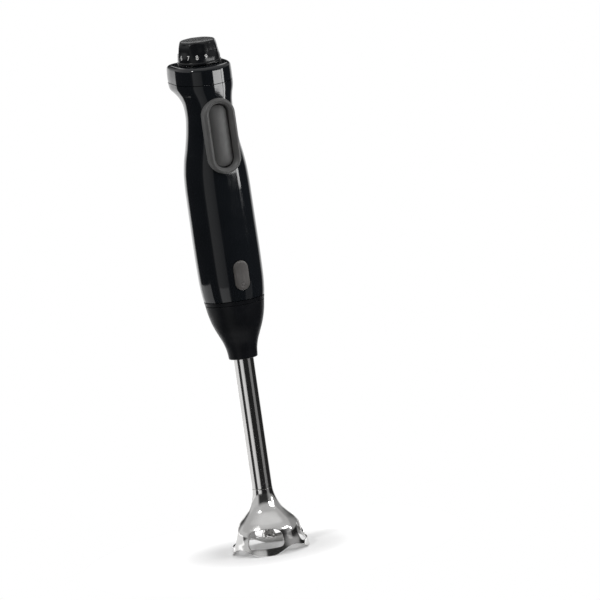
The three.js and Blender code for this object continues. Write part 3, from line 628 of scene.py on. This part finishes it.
# ---- trigger and release button ---------------------------------------------------------------
def build_trigger():
    def ring(inset, y):
        return stadium_ring(TRIGGER_WIDTH - 2 * inset, TRIGGER_HEIGHT - 2 * inset, TRIGGER_Z, y)

    front = TRIGGER_FRONT
    opening = (TRIGGER_WIDTH - PAD_WIDTH) / 2
    profile = [(0.35, -15), (0, -16), (0, front + 2.6), (0.12, front + 1.8), (0.42, front + 1.05),
               (0.9, front + 0.45), (1.35, front + 0.16), (1.75, front + 0.02), (2.0, front),
               (2.25, front + 0.06), (2.5, front + 0.3), (2.9, front + 0.75), (3.5, front + 1.35),
               (4.0, front + 2.1), (4.35, front + 2.8), (opening, front + 3.6), (opening, -15)]
    rings = [ring(inset, y) for inset, y in profile]
    mesh = edit(loft("trigger_bezel", rings + rings[:1]), weld)
    grey = LOOKS["soft_grey"]
    piece("trigger_bezel", mesh, "handle", "soft_grey", grey, "trigger_surround", sharp=60)

    half_width = PAD_WIDTH / 2 - PAD_GAP
    half_height = PAD_HEIGHT / 2 - PAD_GAP
    edge = front + PAD_DEPTH + PAD_DOME

    def dome(x, z):
        across = clamp(1 - (x / half_width) ** 2)
        rise = clamp(1 - (abs(z - TRIGGER_Z) / half_height) ** 6)
        return front + PAD_DEPTH + 0.1 + PAD_DOME * (1 - across**0.8 * rise**0.7)

    def pad_ring(inset, y):
        return stadium_ring(2 * (half_width - inset), 2 * (half_height - inset), TRIGGER_Z, y)

    rings = [pad_ring(0, front + 9), pad_ring(0, edge + 0.6), pad_ring(0.08, edge + 0.25)]
    rings += [pad_ring(inset, dome) for inset in heights_between(0.3, half_width - 0.05, 0.35)]
    mesh = edit(loft("trigger_button", rings, True, True))
    piece("trigger_button", mesh, "trigger", "soft_grey", grey, "trigger_pad", sharp=60)


def build_release_button():
    half_width, half_height = BUTTON_WIDTH / 2, BUTTON_HEIGHT / 2
    proud = 0.75
    mark_z = BUTTON_Z - 7.2

    def face(drop):
        def depth(x, z):
            scoop = 0.35 * clamp(1 - (x / 4.4) ** 2) * clamp(1 - ((z - BUTTON_Z - 1.5) / 8.5) ** 2)
            reach = math.hypot(x, z - mark_z)
            ring_mark = 0.22 * clamp(1 - abs(reach - 1.5) / 0.45)
            return front_surface(x, z) - proud + drop + scoop + ring_mark
        return depth

    def ring(inset, y):
        return stadium_ring(2 * (half_width - inset), 2 * (half_height - inset), BUTTON_Z, y)

    rings = [ring(0.1, -18.4), ring(0.1, face(1.4)), ring(0.13, face(0.7)), ring(0.25, face(0.35))]
    rings += [ring(0.5, face(0.12)), ring(0.8, face(0.03))]
    rings += [ring(inset, face(0)) for inset in heights_between(1.1, half_width - 0.05, 0.28)]
    mesh = edit(loft("release_key", rings, True, True))
    piece("release_key", mesh, "release", "button_grey", LOOKS["button_grey"], "release_button",
          sharp=60)


# ---- arm --------------------------------------------------------------------------------------
def turned_ring(radius, z, count=160, back=0.0):
    return [
        (radius * math.sin(a), back - radius * math.cos(a), z)
        for a in (2 * math.pi * i / count for i in range(count))
    ]


def turned(profile, count=160):
    """Rings through a profile of (radius, height) points."""
    return [turned_ring(radius, z, count) for radius, z in profile]


def build_collar():
    def lean(z):
        return COLLAR_LEAN * clamp((z - COLLAR_BOTTOM) / (COLLAR_TOP - COLLAR_BOTTOM))

    bore = TUBE_RADIUS + 0.2
    rings = turned([(bore, COLLAR_BOTTOM + 4), (bore, COLLAR_BOTTOM), (10.9, COLLAR_BOTTOM),
                    (11.25, COLLAR_BOTTOM + 0.12)])
    for z in heights_between(COLLAR_BOTTOM + 0.45, COLLAR_TOP - 0.3, 0.8):
        rings.append(turned_ring(smooth_row(COLLAR, z)[0], z, back=lean(z)))
    rings.append(turned_ring(23.2, COLLAR_TOP, back=lean(COLLAR_TOP)))
    low, high = LATCH_GROOVE
    rings += turned([
        (10.6, COLLAR_TOP), (10.4, COLLAR_TOP + 0.3), (10.4, low), (9.5, low), (9.5, high),
        (10.4, high), (10.4, 211.6), (10.0, 212), (8.9, 212), (8.6, 211.6), (8.6, 181),
        (bore, 180.4),
    ])
    mesh = edit(loft("collar_moulding", rings))
    piece("collar_moulding", mesh, "arm", "collar_black", LOOKS["collar_black"], "arm_collar")


def build_tube():
    bottom = GUARD_TOP + 0.12
    inner = TUBE_RADIUS - TUBE_WALL
    side = heights_between(bottom + 0.15, TUBE_TOP - 0.2, 4)
    rings = turned([(inner, bottom), (TUBE_RADIUS - 0.15, bottom)])
    rings += turned([(TUBE_RADIUS, z) for z in side])
    rings += turned([(TUBE_RADIUS - 0.2, TUBE_TOP), (inner, TUBE_TOP)])
    mesh = edit(loft("steel_tube", rings + rings[:1]), weld)
    piece("steel_tube", mesh, "arm", "stainless", TUBE_STEEL, "arm_tube")


# ---- guard ------------------------------------------------------------------------------------
def guard_point(angle, level):
    """A point of the guard's outside; level is its height before the rim is lifted into arches."""
    between = abs(math.sin(angle * FOOT_COUNT / 2))
    rise = clamp((between - FOOT_FLAT) / (1 - FOOT_FLAT)) ** ARCH_POWER
    lift = ARCH_HEIGHT * rise * clamp(1 - level / ARCH_REACH)
    dome = smoothstep(level, 6, 18) * (1 - smoothstep(level, 28, 44))
    radius = smooth_row(GUARD, level)[0] * (1 + dome * (PANEL_BULGE * between**5 - FLANK_HOLLOW))
    turned = angle + math.radians(FOOT_AZIMUTH)
    return radius * math.sin(turned), -radius * math.cos(turned), level + lift


def level_of(angle, z):
    """The unlifted level whose lifted height is z."""
    between = abs(math.sin(angle * FOOT_COUNT / 2))
    lift = ARCH_HEIGHT * clamp((between - FOOT_FLAT) / (1 - FOOT_FLAT)) ** ARCH_POWER
    return (z - lift) / (1 - lift / ARCH_REACH) if z < ARCH_REACH else z


def window_outline():
    """Points (angle, height) round one window, starting at its lower left, counter-clockwise."""
    wide, low, high = WINDOW_HALF_ANGLE, WINDOW_BOTTOM, WINDOW_TOP
    corner_a, corner_z = 8.0, 4.2
    path = []

    def bend(a0, z0, a1, z1, a2, z2, steps=12):
        for i in range(steps):
            t = i / steps
            path.append(((1 - t) ** 2 * a0 + 2 * t * (1 - t) * a1 + t * t * a2,
                         (1 - t) ** 2 * z0 + 2 * t * (1 - t) * z1 + t * t * z2))

    shoulder, brow = high - corner_z - 1.5, high - 0.7
    left, right = -wide + corner_a, wide - corner_a
    bend(-wide, low + corner_z, -wide, low + 0.3, left, low)
    bend(left, low, 0, low - 0.5, right, low)
    bend(right, low, wide, low + 0.3, wide, low + corner_z)
    bend(wide, low + corner_z, wide + 1, (low + high) / 2, wide - 0.5, shoulder)
    bend(wide - 0.5, shoulder, wide - 1.5, high - 1.6, right - 3, brow)
    bend(right - 3, brow, 0, high + 0.7, left + 3, brow)
    bend(left + 3, brow, -wide + 1.5, high - 1.6, -wide + 0.5, shoulder)
    bend(-wide + 0.5, shoulder, -wide - 1, (low + high) / 2, -wide, low + corner_z)
    return path


def build_guard():
    top_level, sector = 25.0, 45.0
    side_steps, wide_steps = 14, 34

    # The frame of one sector: lower edge, right side, upper edge, left side.
    frame_points = [(-sector + 2 * sector * i / wide_steps, 0.0) for i in range(wide_steps)]
    frame_points += [(sector, top_level * i / side_steps) for i in range(side_steps)]
    frame_points += [(sector - 2 * sector * i / wide_steps, top_level) for i in range(wide_steps)]
    frame_points += [(-sector, top_level * (1 - i / side_steps)) for i in range(side_steps)]
    middle = (0.0, 13.0)

    def direction(point):
        """The direction of a point from the window's middle, with the sector made square."""
        return math.atan2((point[1] - middle[1]) / 12.5, (point[0] - middle[0]) / sector)

    turns = [(direction(p), p) for p in window_outline()]

    def on_outline(point):
        """Where the outline meets the ray from the middle through a point of the frame."""
        want = direction(point)
        best = None
        for (a0, p0), (a1, p1) in zip(turns, turns[1:] + turns[:1]):
            span = (a1 - a0 + math.pi) % (2 * math.pi) - math.pi
            offset = (want - a0 + math.pi) % (2 * math.pi) - math.pi
            if span > 0 and -1e-9 <= offset <= span + 1e-9:
                t = clamp(offset / span)
                best = (p0[0] + t * (p1[0] - p0[0]), p0[1] + t * (p1[1] - p0[1]))
        return best

    inner_points = [on_outline(p) for p in frame_points]
    inner_points = [(a, level_of(math.radians(a), z)) for a, z in inner_points]
    shares = [0, 0.05, 0.12, 0.22, 0.34, 0.47, 0.6, 0.73, 0.87, 1]
    points, faces = [], []
    count = len(frame_points)
    for s in range(FOOT_COUNT):
        base = len(points)
        turn = 2 * math.pi * s / FOOT_COUNT
        for share in shares:
            for (a0, l0), (a1, l1) in zip(inner_points, frame_points):
                angle = math.radians(a0 + share * (a1 - a0))
                x, y, z = guard_point(angle, l0 + share * (l1 - l0))
                c, d = math.cos(turn), math.sin(turn)
                points.append((x * c - y * d, x * d + y * c, z))
        faces += ring_faces(base, len(shares), count)
    around = FOOT_COUNT * wide_steps
    base = len(points)
    levels = heights_between(top_level, GUARD_TOP, 0.7)
    for level in levels:
        for i in range(around):
            points.append(guard_point(math.radians(-sector) + 2 * math.pi * i / around, level))
    faces += ring_faces(base, len(levels), around)
    mesh = edit(mesh_from("bell_guard", points, faces), weld)
    guard = piece("bell_guard", mesh, "arm", "stainless", LOOKS["stainless"], "blade_guard")
    thicken(guard, GUARD_WALL, bevel=0.4, segments=3)

    plate = turned([
        (6.0, 43.0), (6.0, 32.4), (6.2, 32.0), (9, 31.6), (13.6, 31.2), (13.6, 32.6), (8, 33.2),
        (7.1, 35), (7.1, 43.0), (6.0, 43.0),
    ], 96)
    mesh = edit(loft("guard_seat", plate), weld)
    piece("guard_seat", mesh, "arm", "stainless", LOOKS["stainless"])


# ---- blade ------------------------------------------------------------------------------------
def build_blade():
    """Two swept wings with ground edges on a turned hub."""
    root, length, root_level = 3.5, 13.4, 10.6

    def wing_ring(reach, climb, sign):
        """A closed section across the wing at a distance from the axis."""
        t = clamp((reach - root) / length)
        lead = -4.4 - 1.2 * math.sin(math.pi * t) + 3.6 * t**4
        trail = 3.6 - 2.4 * t - 2.6 * t**6
        thick = 0.6
        level = root_level + climb * (reach - root)
        middle = (lead + trail) / 2
        section = [
            (lead, 0.0), (lead + 1.5, thick), (middle, thick), (trail - 0.1, thick),
            (trail, 0.0), (trail - 0.1, -thick), (middle, -thick), (lead + 1.5, -thick * 0.7),
        ]
        return [(sign * reach, sign * across, level + up + 0.05 * across) for across, up in section]

    meshes = []
    for sign, climb in ((1, 0.16), (-1, -0.1)):
        reaches = [root, 5, 7, 9, 11, 13, 14.5, 15.8, 16.6, 17.0]
        meshes.append(loft("wing", [wing_ring(r, climb, sign) for r in reaches], True, True))
    hub = turned([
        (0.2, 7), (3.1, 7), (3.7, 7.4), (4.2, 8), (5, 8.2), (5.4, 9), (5.4, 12.6), (5.0, 13.4),
        (4.2, 15.4), (4, 17), (4, 27.6), (3.6, 28), (2.1, 28),
    ], 64)
    meshes.append(loft("hub", hub, cap_first=True))
    bm = bmesh.new()
    for mesh in meshes:
        bm.from_mesh(mesh)
        bpy.data.meshes.remove(mesh)
    bmesh.ops.recalc_face_normals(bm, faces=bm.faces[:])
    joined = bpy.data.meshes.new("cutting_blade")
    turn = Matrix.Rotation(math.radians(BLADE_AZIMUTH), 3, "Z")
    bmesh.ops.rotate(bm, verts=bm.verts[:], cent=(0, 0, 0), matrix=turn)
    bm.to_mesh(joined)
    bm.free()
    piece("cutting_blade", joined, "spindle", "stainless", LOOKS["stainless"], "blade", sharp=30)


# ---- stage, light and camera ------------------------------------------------------------------
FLOOR_RADIUS = 150  # millimetres
# The floor's own painted light, weak under the tool so that it paints a soft shadow there, strong
# where it meets the backdrop, and the distances in metres between which it grows.
PAINTED_SHADOW_GLOW, FLOOR_EDGE_GLOW = 0.08, 0.92
GLOW_STARTS, GLOW_FULL = 0.04, 0.13
CAMERA_AZIMUTH = -20.7  # degrees from the front, negative to the left
CAMERA_DISTANCE = 4.0
CAMERA_HEIGHT = 0.765
CAMERA_LEAN = 8.11  # how far the tool leans to the left in the frame, in degrees
FRAME_WIDTH = 0.4735  # what the frame takes in at the tool's distance, in metres
AIM_HEIGHT, AIM_SIDE = 0.1945, 0.0507  # the frame's centre: height on the axis, and to its right

# The studio seen in reflections: azimuth counted from the camera, positive to its right, and
# brightness. Bright behind the tool, a dim panel at each side of the camera, dark between them.
STUDIO = [
    (-180, 1.1), (-165, 1.2), (-152, 1.7), (-141, 1.7), (-134, 0.03), (-60, 0.03), (-50, 0.06),
    (-46, 0.5), (-28, 0.42), (-11, 0.26), (-8, 0.02), (138, 0.02), (150, 1.1), (180, 1.1),
]
# The same above the backdrop: grey at the sides, dark in front and behind.
UPPER_STUDIO = [
    (-180, 0.01), (-155, 0.03), (-130, 0.75), (-62, 0.75), (-42, 0.04), (35, 0.04), (60, 0.4),
    (140, 0.4), (160, 0.01), (180, 0.01),
]
# Where one zone of the surround gives way to the next, as sines of the elevation.
BACKDROP_TOP, SKY_EDGE, ZENITH_EDGE = (0.1, 0.2), (0.5, 0.64), (0.84, 0.98)
SKY_BRIGHTNESS, ZENITH_BRIGHTNESS = 0.62, 0.9
HIGH_LIGHT = 0.6  # a light that starts above this height in metres tilts down at the grip
GRIP_HEIGHT = 0.25


def side_of(azimuth):
    """The direction to the right of a viewer who looks at the tool from an azimuth."""
    angle = math.radians(azimuth)
    return Vector((math.cos(angle), math.sin(angle), 0))


def away_from(azimuth, elevation=0.0):
    """The direction from the tool to something at an azimuth and elevation."""
    a, e = math.radians(azimuth), math.radians(elevation)
    return Vector((math.sin(a) * math.cos(e), -math.cos(a) * math.cos(e), math.sin(e)))


def build_floor():
    ring = turned_ring(FLOOR_RADIUS, -0.05, 96)
    mesh = mesh_from("floor", ring, [tuple(range(len(ring)))])
    floor = bpy.data.objects.new("floor", mesh)
    bpy.context.scene.collection.objects.link(floor)
    look = Finish("pale_floor", (0.9, 0.9, 0.9), 0.6)
    look.vary_colour(look.noise(3), (0.885, 0.885, 0.885), (0.9, 0.9, 0.9))
    look.set("Specular IOR Level", 0.1)
    look.set("Emission Color", (1, 1, 1, 1))
    # The emission grows with the distance from the tool's axis. It is painted light that is weakest
    # under the tool, which paints a soft shadow there.
    reach = look.tree.nodes.new("ShaderNodeVectorMath")
    reach.operation = "LENGTH"
    look.tree.links.new(look.place, reach.inputs[0])
    glow = look.tree.nodes.new("ShaderNodeMapRange")
    glow.interpolation_type = "SMOOTHSTEP"
    growth = (("From Min", GLOW_STARTS), ("From Max", GLOW_FULL),
              ("To Min", PAINTED_SHADOW_GLOW), ("To Max", FLOOR_EDGE_GLOW))
    for key, value in growth:
        glow.inputs[key].default_value = value
    look.tree.links.new(reach.outputs["Value"], glow.inputs["Value"])
    look.tree.links.new(glow.outputs["Result"], look.shader.inputs["Emission Strength"])
    mesh.materials.append(look.material)


def build_world():
    """A white surround for the camera, and the studio for everything else."""
    world = bpy.data.worlds.new("studio")
    bpy.context.scene.world = world
    world.use_nodes = True
    tree = world.node_tree
    tree.nodes.clear()
    new, link = tree.nodes.new, tree.links.new

    def dot(axis):
        node = new("ShaderNodeVectorMath")
        node.operation = "DOT_PRODUCT"
        node.inputs[1].default_value = axis
        link(place, node.inputs[0])
        return node.outputs["Value"]

    place = new("ShaderNodeTexCoord").outputs["Generated"]
    turn = new("ShaderNodeMath")
    turn.operation = "ARCTAN2"
    link(dot(side_of(CAMERA_AZIMUTH)), turn.inputs[0])
    link(dot(away_from(CAMERA_AZIMUTH)), turn.inputs[1])
    share = new("ShaderNodeMapRange")
    for key, value in (("From Min", -math.pi), ("From Max", math.pi)):
        share.inputs[key].default_value = value
    link(turn.outputs["Value"], share.inputs["Value"])

    def around(levels):
        """Brightness by azimuth."""
        ramp = new("ShaderNodeValToRGB")
        stops = ramp.color_ramp.elements
        stops.remove(stops[1])
        for i, (azimuth, level) in enumerate(levels):
            position = (azimuth + 180) / 360
            stop = stops[0] if i == 0 else stops.new(position)
            stop.position = position
            stop.color = (level, level, level, 1)
        link(share.outputs["Result"], ramp.inputs["Fac"])
        return ramp.outputs["Color"]

    def span(low, high, start, end):
        """A level that goes from start to end between two sines of the elevation."""
        node = new("ShaderNodeMapRange")
        node.interpolation_type = "SMOOTHSTEP"
        keys = ("From Min", "From Max", "To Min", "To Max")
        for key, value in zip(keys, (low, high, start, end)):
            node.inputs[key].default_value = value
        link(dot(UP), node.inputs["Value"])
        return node.outputs["Result"]

    def joined(operation, first, second):
        node = new("ShaderNodeMath")
        node.operation = operation
        link(first, node.inputs[0])
        link(second, node.inputs[1])
        return node.outputs["Value"]

    walls = joined("MULTIPLY", around(STUDIO), span(*BACKDROP_TOP, 1, 0))
    upper = joined("MULTIPLY", around(UPPER_STUDIO), span(*BACKDROP_TOP, 0, 1))
    upper = joined("MULTIPLY", upper, span(*SKY_EDGE, 1, 0))
    sky = joined("ADD", span(*SKY_EDGE, 0, SKY_BRIGHTNESS),
                 span(*ZENITH_EDGE, 0, ZENITH_BRIGHTNESS - SKY_BRIGHTNESS))
    studio = new("ShaderNodeBackground")
    studio.inputs["Color"].default_value = (1, 1, 1, 1)
    link(joined("ADD", joined("ADD", walls, upper), sky), studio.inputs["Strength"])
    plain = new("ShaderNodeBackground")
    plain.inputs["Color"].default_value = (1, 1, 1, 1)
    mix = new("ShaderNodeMixShader")
    link(new("ShaderNodeLightPath").outputs["Is Camera Ray"], mix.inputs["Fac"])
    link(studio.outputs["Background"], mix.inputs[1])
    link(plain.outputs["Background"], mix.inputs[2])
    output = new("ShaderNodeOutputWorld")
    link(mix.outputs["Shader"], output.inputs["Surface"])


def build_camera():
    aim = side_of(CAMERA_AZIMUTH) * AIM_SIDE + UP * AIM_HEIGHT
    elevation = math.degrees(math.atan2(CAMERA_HEIGHT - AIM_HEIGHT, CAMERA_DISTANCE))
    back = away_from(CAMERA_AZIMUTH, elevation)
    data = bpy.data.cameras.new("camera")
    data.sensor_width = 36
    data.lens = 36 / 2 / (FRAME_WIDTH / 2 / CAMERA_DISTANCE)
    camera = bpy.data.objects.new("camera", data)
    bpy.context.scene.collection.objects.link(camera)
    level = (-back).to_track_quat("-Z", "Y").to_matrix().to_4x4()
    roll = Matrix.Rotation(math.radians(-CAMERA_LEAN), 4, "Z")
    camera.matrix_world = Matrix.Translation(aim + back * CAMERA_DISTANCE) @ level @ roll
    bpy.context.scene.camera = camera


def softbox(name, azimuth, distance, width, low, high, radiance):
    """An upright rectangular light that faces the tool; its azimuth counts from the camera's."""
    height = high - low
    data = bpy.data.lights.new(name, "AREA")
    data.shape = "RECTANGLE"
    data.size = width
    data.size_y = height
    data.energy = radiance * math.pi * width * height
    light = bpy.data.objects.new(name, data)
    bpy.context.scene.collection.objects.link(light)
    direction = away_from(CAMERA_AZIMUTH + azimuth)
    light.location = direction * distance + UP * (low + high) / 2
    target = UP * (GRIP_HEIGHT if low > HIGH_LIGHT else light.location.z)
    light.rotation_euler = (target - light.location).to_track_quat("-Z", "Y").to_euler()


def build_lights():
    """Each row: azimuth, distance, width, lower and upper edge in metres, and radiance."""
    softbox("right_strip", 84, 0.6, 0.10, 0.225, 0.4, 9)
    softbox("right_high", 57, 0.35, 0.245, 0.27, 0.36, 9)
    softbox("low_card_left", -106, 0.5, 0.5, -0.06, 0.13, 1.0)
    softbox("low_card_front", -29, 0.5, 0.29, -0.06, 0.10, 0.5)
    softbox("low_card_right", 60, 0.5, 0.26, -0.06, 0.13, 0.25)
    softbox("upper_spot", -48, 0.6, 0.045, 0.81, 0.855, 260)
    softbox("back_light", 178, 0.7, 0.5, 0.7, 1.0, 1.5)
    bpy.context.scene.view_settings.view_transform = "Standard"
    bpy.context.scene.view_settings.look = "None"


build_camera()
dress_cad_nodes()
build_shells()
build_cap()
build_base_ring()
build_gland()
build_dial()
build_numbers()
build_trigger()
build_release_button()
build_collar()
build_tube()
build_guard()
build_blade()
build_floor()
build_world()
build_lights()
